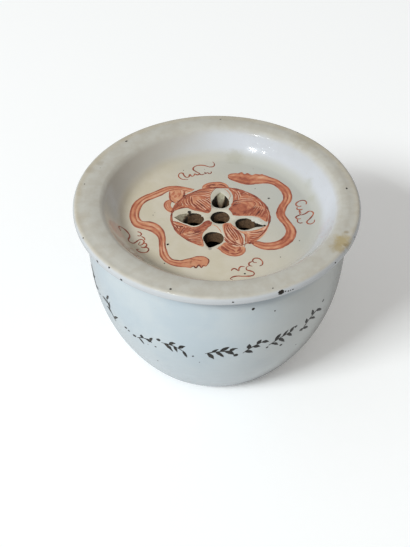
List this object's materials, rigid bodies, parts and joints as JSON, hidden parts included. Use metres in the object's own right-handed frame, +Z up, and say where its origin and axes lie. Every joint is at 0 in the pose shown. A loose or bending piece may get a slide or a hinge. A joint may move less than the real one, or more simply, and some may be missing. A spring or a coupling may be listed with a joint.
{
  "type": "cricket jar",
  "caption": "Small round porcelain jar for keeping a cricket, with a dished, pierced lid that overhangs its mouth and lifts off.",
  "frame": {"origin": "centre of the circle that the foot ring stands on", "axes": "+Z up through the jar and the lid, the way the lid lifts; +X to the right and +Y away in the picture's view"},
  "size_m": [0.1, 0.1, 0.0659],
  "materials": {
    "jar_porcelain": "clear blue-tinged glaze over white porcelain, with an unglazed foot ring and mouth rim",
    "lid_porcelain": "worn glossy clear glaze over warm white porcelain, with iron specks and an unglazed seat",
    "red_enamel": "painted iron red enamel, from thin orange wash to dark outline",
    "ink_enamel": "painted brown-black enamel brush strokes"
  },
  "bodies": {
    "jar": {"jar_body": "jar_porcelain"},
    "cover": {"lid": "lid_porcelain"}
  },
  "joints": [
    {"name": "lid_lift", "type": "slide", "parent": "jar", "child": "cover", "axis": [0, 0, 1], "range_m": [0, 0.06]}
  ]
}
